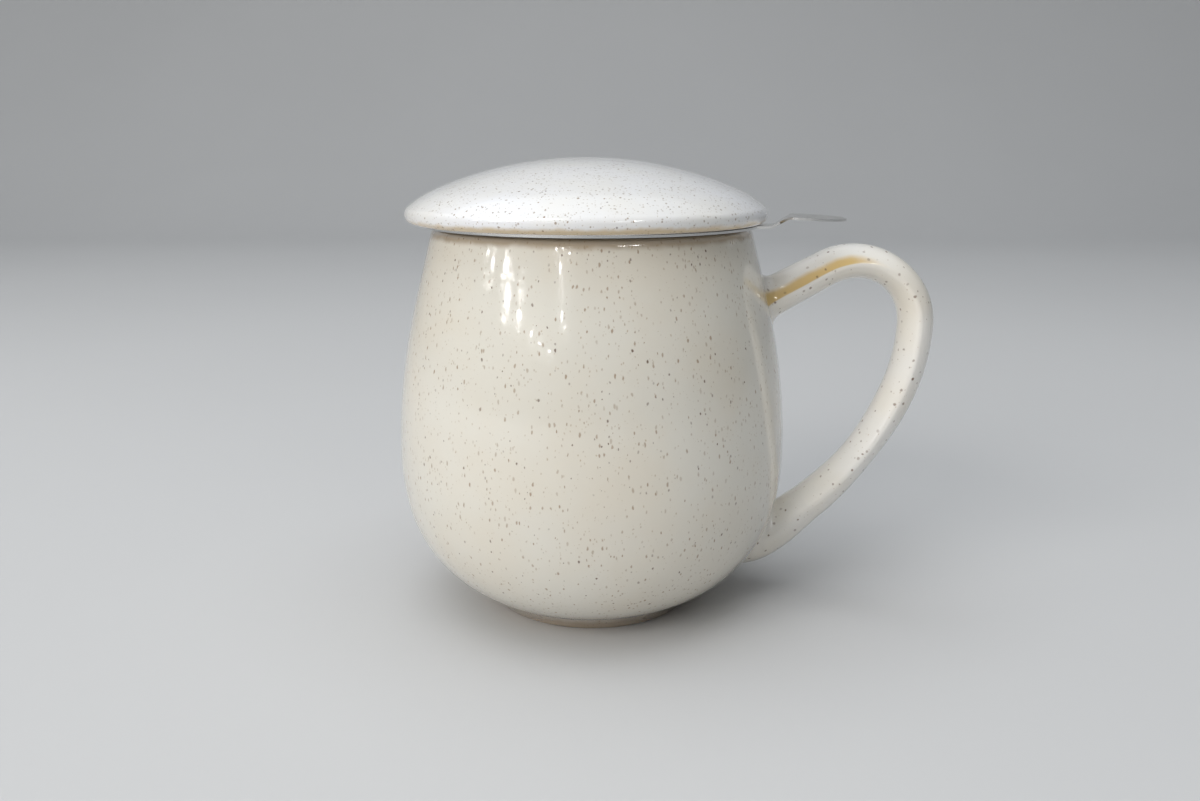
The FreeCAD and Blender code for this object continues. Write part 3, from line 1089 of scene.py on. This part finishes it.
@dataclass
class Infuser:
    """The lift-out steel basket, in millimetres."""

    vessel: Vessel
    sheet: float = 0.5
    mouth_clearance: float = 0.7
    seat_gap: float = 0.3
    flange_overhang: float = 3.2
    collar_depth: float = 12.5
    lap_gap: float = 0.05
    lap_length: float = 6.0
    depth: float = 69.5
    pan_bend: float = 1.0
    pan_skirt: float = 4.0
    slit_width: float = 1.1
    slit_length: float = 7.0
    slit_bridge: float = 2.6
    slit_pitch: float = 6.2
    edge_land: float = 3.0
    seam_land: float = 9.0
    base_slit_length: float = 3.6
    base_slit_bridge: float = 2.2
    base_first_ring: float = 5.4
    base_slit_pitch: float = 6.2
    base_edge_land: float = 2.4
    edge_break: float = 0.15
    open_edge: float = 0.1
    pan_step: float = 15.0
    punch_reach: float = 3.0
    wall_pieces: int = 12
    rim_crease: float = 35.0
    segments: int = 192

    @property
    def collar_outer(self) -> float:
        """The collar's outer radius, clear of the mouth."""
        return float(self.vessel.mouth_centre[0]) - self.vessel.lip - self.mouth_clearance

    @property
    def collar_inner(self) -> float:
        """The collar's inner radius."""
        return self.collar_outer - self.sheet

    @property
    def sleeve_outer(self) -> float:
        """The sleeve's outer radius."""
        return self.collar_inner - self.lap_gap

    @property
    def sleeve_inner(self) -> float:
        """The sleeve's inner radius."""
        return self.sleeve_outer - self.sheet

    @property
    def flange_bottom(self) -> float:
        """The flange's lower face."""
        return self.vessel.height + self.seat_gap

    @property
    def flange_top(self) -> float:
        """The flange's upper face, which the lid rests on."""
        return self.flange_bottom + self.sheet

    @property
    def flange_radius(self) -> float:
        """The flange's outer radius."""
        return float(self.vessel.mouth_centre[0]) + self.flange_overhang

    @property
    def basket_bottom(self) -> float:
        """The underside of the base pan."""
        return self.flange_bottom - self.depth

    @property
    def pan_top(self) -> float:
        """The upper face of the base pan."""
        return self.basket_bottom + self.sheet

    def rim_piece(self) -> bpy.types.Object:
        """The stamped flange, collar and thumb tab, from the frame's own node.

        Returns:
            The piece that stands for infuser_rim.
        """
        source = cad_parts["infuser_rim"]
        obj = bpy.data.objects.new("stamped_rim", source.data.copy())
        obj.data.name = "stamped_rim"
        obj.data.transform(source.matrix_world)
        bpy.context.scene.collection.objects.link(obj)
        work = bmesh.new()
        work.from_mesh(obj.data)
        bmesh.ops.remove_doubles(work, verts=work.verts, dist=CAD_WELD)
        bmesh.ops.dissolve_degenerate(work, edges=work.edges, dist=WELD)
        work.to_mesh(obj.data)
        work.free()
        obj.data.materials.clear()
        shade_by_angle(obj, self.rim_crease)
        return obj

    def sleeve_piece(self, material: bpy.types.Material) -> bpy.types.Object:
        """The rolled sleeve with its staggered slits, pierced by geometry nodes.

        Args:
            material: the steel it is set to.

        Returns:
            The piece that stands for infuser_sleeve.
        """
        bottom = self.pan_top + self.pan_bend
        collar_bottom = self.flange_bottom - self.collar_depth
        top = collar_bottom + self.lap_length
        profile = Profile((self.sleeve_inner, bottom)).line_to((self.sleeve_outer, bottom))
        profile.line_to((self.sleeve_outer, top), self.wall_pieces).line_to((self.sleeve_inner, top))
        profile.line_to((self.sleeve_inner, bottom + self.open_edge), self.wall_pieces)
        blank = lathe("slit_sleeve", profile.points, self.segments)
        first = self.pan_top + self.pan_skirt + self.edge_land
        last = collar_bottom - self.edge_land
        pitch = self.slit_length + self.slit_bridge
        rows = int((last - first + self.slit_bridge) / pitch)
        spare = (last - first + self.slit_bridge) - rows * pitch
        seam = math.degrees(self.seam_land / self.sleeve_outer)
        columns = int(math.radians(360 - seam) * self.sleeve_outer / self.slit_pitch)
        step = (360 - seam) / columns
        rings = []
        for row in range(rows):
            stagger = row % 2
            rings.append(
                SlitRing(
                    count=columns - stagger,
                    radius=self.sleeve_outer,
                    height=first + spare / 2 + row * pitch + self.slit_length / 2,
                    start=180 + seam / 2 + (0.5 + stagger / 2) * step,
                    step=step,
                )
            )
        piercing = Piercing(self.slit_width, self.slit_length, self.punch_reach, upright=True)
        return piercing.cut(blank, rings, material)

    def base_piece(self, material: bpy.types.Material) -> bpy.types.Object:
        """The base pan with its rings of radial slits.

        Args:
            material: the steel it is set to.

        Returns:
            The piece that stands for infuser_base.
        """
        low, high = self.basket_bottom, self.pan_top + self.pan_skirt
        bend = self.pan_bend + self.sheet
        profile = Profile((0.0, low)).line_to((self.collar_outer - bend, low), 4)
        profile.step = self.pan_step
        profile.arc(bend, 90).line_to((self.collar_outer, high - self.edge_break), 2)
        profile.line_to((self.collar_outer - self.edge_break, high))
        profile.line_to((self.collar_inner + self.edge_break, high))
        profile.line_to((self.collar_inner, high - self.edge_break))
        profile.line_to((self.collar_inner, self.pan_top + self.pan_bend))
        profile.turn_to(270).arc(self.pan_bend, 180).line_to((0.0, self.pan_top), 4)
        blank = lathe("slit_base", profile.points, self.segments, closed=False)
        pitch = self.base_slit_length + self.base_slit_bridge
        last = self.sleeve_inner - self.base_edge_land - self.base_slit_length
        rings = []
        for ring in range(int((last - self.base_first_ring) / pitch) + 1):
            middle = self.base_first_ring + ring * pitch + self.base_slit_length / 2
            count = int(2 * math.pi * middle / self.base_slit_pitch)
            step = 360 / count
            rings.append(SlitRing(count, middle, low + self.sheet / 2, 0.5 * (ring % 2) * step, step))
        piercing = Piercing(self.slit_width, self.base_slit_length, self.punch_reach, upright=False)
        return piercing.cut(blank, rings, material)


RING_INPUTS = ("Count", "Radius", "Height", "Start", "Step")


@dataclass(frozen=True)
class SlitRing:
    """One row of slits round the axis, in millimetres and degrees."""

    count: int
    radius: float
    height: float
    start: float
    step: float


@dataclass(frozen=True)
class Piercing:
    """Round-ended slits cut through sheet by geometry nodes.

    Args:
        width: a slit's width.
        length: its length.
        reach: how deep the cutter goes.
        upright: whether slits stand up in a wall, or lie radially in a floor.
        round_step: the degrees between two points of a slit's round end.
        crease: the angle from which an edge stays sharp, in degrees.
    """

    width: float
    length: float
    reach: float
    upright: bool
    round_step: int = 30
    crease: float = 30.0

    def cutter(self) -> bpy.types.Object:
        """One slit's punch, with round ends, centred on the origin.

        Returns:
            The punch, to be removed once it is used.
        """
        half, end = self.width / 2, self.length / 2 - self.width / 2
        outline = []
        for centre, start in ((end, 0), (-end, 180)):
            for degrees in range(start, start + 181, self.round_step):
                angle = math.radians(degrees)
                outline.append((half * math.cos(angle), centre + half * math.sin(angle)))
        count = len(outline)
        verts = []
        for depth in (-self.reach / 2, self.reach / 2):
            for across, along in outline:
                verts.append((depth, across, along) if self.upright else (along, across, depth))
        faces = [list(range(count)), list(range(count, 2 * count))]
        faces += [[i, (i + 1) % count, count + (i + 1) % count, count + i] for i in range(count)]
        return finish_mesh("slit_punch", np.array(verts), faces)

    def cut(
        self, blank: bpy.types.Object, rings: Sequence[SlitRing], material: bpy.types.Material
    ) -> bpy.types.Object:
        """Pierce a blank.

        Args:
            blank: the plain turned sheet.
            rings: the rows of slits.
            material: set on the result.

        Returns:
            The pierced piece, as a plain mesh.
        """
        punch = self.cutter()
        tree = bpy.data.node_groups.new("piercing_" + blank.name, "GeometryNodeTree")
        tree.interface.new_socket("Geometry", in_out="INPUT", socket_type="NodeSocketGeometry")
        values: dict[str, object] = {}

        def take(name: str, kind: str, value: object) -> None:
            """Give the tree a named input, to be set to a value."""
            socket = tree.interface.new_socket(name, in_out="INPUT", socket_type="NodeSocket" + kind)
            values[socket.identifier] = value

        take("Punch", "Object", punch)
        take("Steel", "Material", material)
        for number, ring in enumerate(rings, 1):
            turns = (math.radians(ring.start), math.radians(ring.step))
            sizes = (ring.count, ring.radius * MM, ring.height * MM, *turns)
            for key, value in zip(RING_INPUTS, sizes):
                take("Ring %d %s" % (number, key), "Int" if key == "Count" else "Float", value)
        tree.interface.new_socket("Geometry", in_out="OUTPUT", socket_type="NodeSocketGeometry")
        n = Nodes(tree)
        start = n.add("NodeGroupInput")
        stamp = n.add("GeometryNodeObjectInfo", {"Object": start.outputs["Punch"]})
        join = n.add("GeometryNodeJoinGeometry")
        for number in range(1, len(rings) + 1):
            size = {key: start.outputs["Ring %d %s" % (number, key)] for key in RING_INPUTS}
            index = n.add("GeometryNodeInputIndex")
            angle = n.math("ADD", n.math("MULTIPLY", index.outputs[0], size["Step"]), size["Start"])
            x = n.math("MULTIPLY", n.math("COSINE", angle), size["Radius"])
            y = n.math("MULTIPLY", n.math("SINE", angle), size["Radius"])
            place = n.add("ShaderNodeCombineXYZ", {0: x, 1: y, 2: size["Height"]})
            points = n.add("GeometryNodePoints", {"Count": size["Count"], "Position": place.outputs[0]})
            spin = n.add("ShaderNodeCombineXYZ", {2: angle})
            row = {"Points": points.outputs[0], "Instance": stamp.outputs["Geometry"]}
            row["Rotation"] = spin.outputs[0]
            slits = n.add("GeometryNodeInstanceOnPoints", row)
            tree.links.new(slits.outputs[0], join.inputs[0])
        solid = n.add("GeometryNodeRealizeInstances", {0: join.outputs[0]})
        pierced = n.add("GeometryNodeMeshBoolean", operation="DIFFERENCE", solver="EXACT")
        tree.links.new(start.outputs["Geometry"], pierced.inputs[0])
        tree.links.new(solid.outputs[0], pierced.inputs[1])
        real = n.add("GeometryNodeRealizeInstances", {0: pierced.outputs[0]})
        coated = {0: real.outputs[0], "Material": start.outputs["Steel"]}
        steel = n.add("GeometryNodeSetMaterial", coated)
        n.add("NodeGroupOutput", {0: steel.outputs[0]})
        modifier = blank.modifiers.new("piercing", "NODES")
        modifier.node_group = tree
        for identifier, value in values.items():
            modifier[identifier] = value
        bpy.context.view_layer.update()
        evaluated = blank.evaluated_get(bpy.context.evaluated_depsgraph_get())
        mesh = bpy.data.meshes.new_from_object(evaluated)
        blank.modifiers.clear()
        blank.data = mesh
        bpy.data.objects.remove(punch)
        shade_by_angle(blank, self.crease)
        return blank


def shade_by_angle(obj: bpy.types.Object, degrees: float) -> None:
    """Keep the sharp edges of a piece, and smooth the rest.

    Args:
        obj: the piece.
        degrees: the angle between two faces from which their edge stays sharp.
    """
    work = bmesh.new()
    work.from_mesh(obj.data)
    limit = math.radians(degrees)
    for face in work.faces:
        face.smooth = True
    for edge in work.edges:
        edge.smooth = len(edge.link_faces) == 2 and edge.calc_face_angle(0.0) < limit
    work.to_mesh(obj.data)
    work.free()


def dress(obj: bpy.types.Object, material: bpy.types.Material) -> None:
    """Give a piece its one material."""
    obj.data.materials.clear()
    obj.data.materials.append(material)


@dataclass(frozen=True)
class Lamp:
    """A rectangular soft light, in metres and watts."""

    name: str
    place: Place
    target: Place
    size: Span
    power: float
    colour: Place = (1.0, 1.0, 1.0)
    task: LampTask = LampTask.LIGHT


@dataclass
class Studio:
    """Pale floor, soft lamps and the camera, in metres.

    The lamps light the mug. The panes and skylights are only mirrored in its glaze.
    """

    camera_place: Place = (0.0, -0.240, 0.10558)
    pitch: float = 13.63
    focal_pixels: float = 1039.8
    axis_pixel: float = 591.78
    image_width: float = 1200.0
    sensor: float = 36.0
    lamps: tuple[Lamp, ...] = (
        Lamp(
            name="window_light",
            place=(-0.88, -0.98, 0.70),
            target=(0, 0, 0.05),
            size=(0.9, 0.7),
            power=13.2,
            colour=(1.0, 0.975, 0.94),
        ),
        Lamp(
            name="sky_light",
            place=(-0.05, -0.05, 1.1),
            target=(0, 0, 0.05),
            size=(1.0, 1.0),
            power=5.8,
            colour=(0.95, 0.975, 1.0),
        ),
    )
    panes: tuple[Pane, ...] = (
        (-75.0, 17.0, 0.030, 0.010),
        (-70.0, 16.8, 0.036, 0.013),
        (-59.2, 18.2, 0.060, 0.016),
        (-55.0, 16.6, 0.050, 0.020),
        (-46.0, 16.6, 0.050, 0.014),
        (-37.0, 15.0, 0.022, 0.016),
        (-31.5, 13.8, 0.034, 0.010),
        (-25.0, 12.8, 0.022, 0.010),
        (-24.5, 23.6, 0.026, 0.007),
        (-20.0, 23.9, 0.020, 0.006),
        (-15.0, 23.5, 0.030, 0.007),
        (-21.0, 21.6, 0.024, 0.012),
        (-18.5, 18.7, 0.022, 0.013),
        (-16.5, 17.5, 0.012, 0.012),
    )
    skylights: tuple[Pane, ...] = (
        (-72.0, 33.0, 0.120, 0.040),
        (-62.0, 40.0, 0.150, 0.045),
        (-60.0, 50.0, 0.130, 0.035),
        (-49.0, 33.0, 0.090, 0.035),
        (-46.0, 53.0, 0.130, 0.040),
        (-34.0, 57.0, 0.150, 0.050),
        (22.0, 31.0, 0.060, 0.030),
        (33.0, 34.0, 0.080, 0.030),
    )
    horizon: Colour = (0.16, 0.168, 0.175, 1)
    zenith: Colour = (0.74, 0.775, 0.81, 1)
    pane_distance: float = 1.2
    pane_radiance: float = 60.0
    skylight_radiance: float = 120.0
    pane_aim: float = 0.075
    floor_half: float = 5.0
    floor_back: float = 1.0
    sweep_radius: float = 0.6
    sweep_rise: float = 1.4
    sweep_step: float = 5.0
    floor_dark: Colour = (0.53, 0.53, 0.53, 1)
    floor_light: Colour = (0.57, 0.57, 0.57, 1)
    floor_scale: float = 3.0
    floor_roughness: float = 0.65
    height_span: Span = (0.15, 0.95)
    side_span: Span = (-0.9, 0.9)
    side_strength: Span = (1.15, 0.55)
    near_clip: float = 0.005

    def build(self) -> None:
        """Set the floor, the lamps, the world and the camera."""
        self.floor()
        for lamp in self.lamps:
            self.light(lamp)
        mirrored = [(pane, self.pane_radiance) for pane in self.panes]
        mirrored += [(pane, self.skylight_radiance) for pane in self.skylights]
        for number, ((azimuth, elevation, width, height), radiance) in enumerate(mirrored):
            flat = self.pane_distance * math.cos(math.radians(elevation))
            place = (
                flat * math.sin(math.radians(azimuth)),
                -flat * math.cos(math.radians(azimuth)),
                self.pane_aim + self.pane_distance * math.sin(math.radians(elevation)),
            )
            power = radiance * math.pi * width * height
            name, target = "window_pane_%d" % number, (0, 0, self.pane_aim)
            self.light(Lamp(name, place, target, (width, height), power, task=LampTask.MIRROR))
        self.world()
        self.camera()

    def floor(self) -> None:
        """A wide pale sweep that curves up behind the mug."""
        profile = Profile((-self.floor_half, 0.0), 0.0, self.sweep_step)
        profile.line_to((self.floor_back, 0.0), 4).turn_to(0.0)
        profile.arc(self.sweep_radius, 90).straight(self.sweep_rise, 2)
        verts = []
        for side in (-self.floor_half, self.floor_half):
            verts += [(side / MM, y / MM, z / MM) for y, z in profile.points]
        count = len(profile.points)
        faces = [[i, i + 1, count + i + 1, count + i] for i in range(count - 1)]
        obj = finish_mesh("pale_floor", np.array(verts), faces)
        material, n, shader = new_material("pale_floor")
        place = n.add("ShaderNodeTexCoord").outputs["Object"]
        tone = n.mix(n.noise(place, self.floor_scale, 3.0), self.floor_dark, self.floor_light)
        n.tree.links.new(tone, shader.inputs["Base Color"])
        shader.inputs["Roughness"].default_value = self.floor_roughness
        dress(obj, material)

    def light(self, lamp: Lamp) -> None:
        """Hang one area light.

        Args:
            lamp: what and where it is.
        """
        data = bpy.data.lights.new(lamp.name, "AREA")
        data.shape = "RECTANGLE"
        data.size, data.size_y = lamp.size
        data.energy = lamp.power
        data.color = lamp.colour
        obj = bpy.data.objects.new(lamp.name, data)
        obj.location = lamp.place
        look = Vector(lamp.target) - Vector(lamp.place)
        obj.rotation_euler = look.to_track_quat("-Z", "Y").to_euler()
        obj.visible_glossy = lamp.task is LampTask.MIRROR
        obj.visible_diffuse = lamp.task is LampTask.LIGHT
        bpy.context.scene.collection.objects.link(obj)

    def world(self) -> None:
        """A dim room that brightens softly overhead."""
        world = bpy.data.worlds.new("soft_room")
        world.use_nodes = True
        world.node_tree.nodes.clear()
        n = Nodes(world.node_tree)
        place = n.add("ShaderNodeTexCoord").outputs["Generated"]
        way = n.add("ShaderNodeSeparateXYZ", {0: place})
        tone = n.mix(n.ramp(way.outputs[2], *self.height_span), self.horizon, self.zenith)
        strength = n.ramp(way.outputs[0], *self.side_span, *self.side_strength)
        back = n.add("ShaderNodeBackground", {"Color": tone, "Strength": strength})
        n.add("ShaderNodeOutputWorld", {"Surface": back.outputs[0]})
        bpy.context.scene.world = world

    def camera(self) -> None:
        """The photograph's viewpoint."""
        data = bpy.data.cameras.new("photo_camera")
        data.sensor_width = self.sensor
        data.lens = self.focal_pixels / self.image_width * self.sensor
        data.shift_x = (self.image_width / 2 - self.axis_pixel) / self.image_width
        data.clip_start = self.near_clip
        obj = bpy.data.objects.new("photo_camera", data)
        obj.location = self.camera_place
        obj.rotation_euler = (math.radians(90 - self.pitch), 0, 0)
        bpy.context.scene.collection.objects.link(obj)
        bpy.context.scene.camera = obj


def main() -> None:
    """Build every piece in order."""
    logging.basicConfig(level=logging.INFO, format="%(name)s %(message)s")
    bpy.context.scene.view_settings.view_transform = "Standard"
    effects = EffectLibrary()
    polished = POLISHED.build(effects)
    brushed = BRUSHED.build(effects)
    vessel = Vessel()
    infuser = Infuser(vessel)

    body = vessel.build()
    dress(body, VESSEL_GLAZE.build(effects))
    seat(body, Body.MUG, "mug_body")

    ear = Handle().build(vessel)
    dress(ear, HANDLE_GLAZE.build(effects))
    seat(ear, Body.MUG, "handle")

    lid = Lid().build(infuser)
    dress(lid, LID_GLAZE.build(effects))
    seat(lid, Body.LID, "lid")

    rim = infuser.rim_piece()
    dress(rim, polished)
    seat(rim, Body.INFUSER, "infuser_rim")
    seat(infuser.sleeve_piece(brushed), Body.INFUSER, "infuser_sleeve")
    seat(infuser.base_piece(brushed), Body.INFUSER, "infuser_base")

    Studio().build()


if __name__ == "__main__":
    main()
